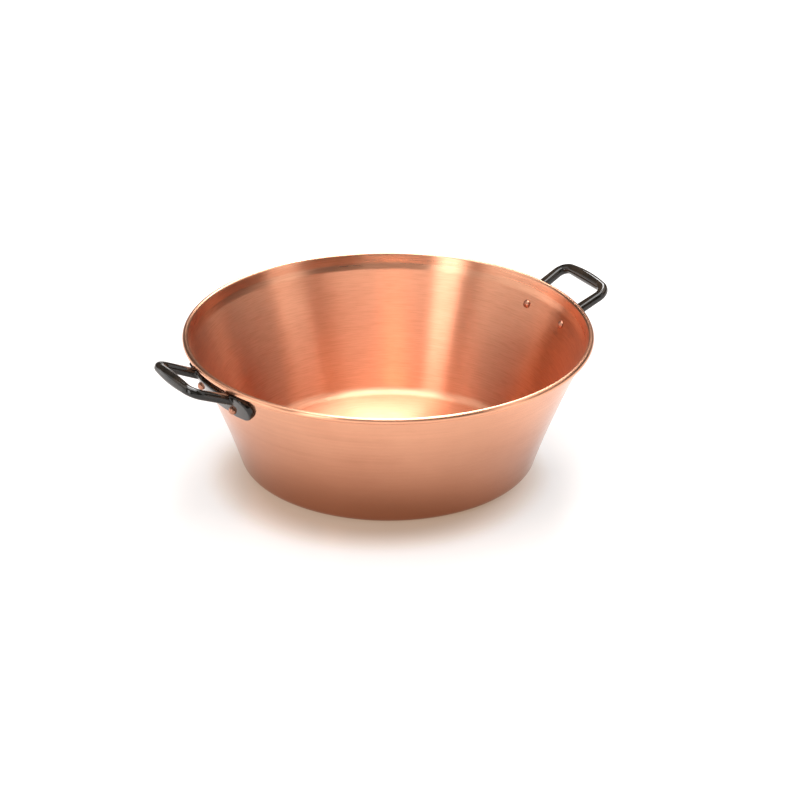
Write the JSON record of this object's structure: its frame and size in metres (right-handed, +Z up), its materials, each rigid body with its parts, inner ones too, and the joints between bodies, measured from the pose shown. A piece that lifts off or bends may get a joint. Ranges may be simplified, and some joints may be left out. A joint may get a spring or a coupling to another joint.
{
  "type": "jam pan",
  "caption": "Wide open copper jam pan with a flat base, flaring wall and rolled rim, and a riveted black cast-iron loop handle on each side.",
  "frame": {"origin": "centre of the flat base, on the table", "axes": "+Z up along the pan's axis, +X through the middle of the right handle, +Y towards the back rivets"},
  "size_m": [0.4818, 0.4, 0.1469],
  "materials": {
    "copper": "spun and lightly brushed copper, bright",
    "rivet_copper": "set copper rivets, satin",
    "black_iron": "blackened cast iron, satin",
    "rim_steel": "drawn steel wire, hidden in the rolled rim"
  },
  "bodies": {
    "root": {"pan_body": "copper", "rim_wire": "rim_steel", "handle_right": "black_iron", "handle_left": "black_iron", "rivet_right_back": "rivet_copper", "rivet_right_front": "rivet_copper", "rivet_left_back": "rivet_copper", "rivet_left_front": "rivet_copper"}
  },
  "joints": []
}
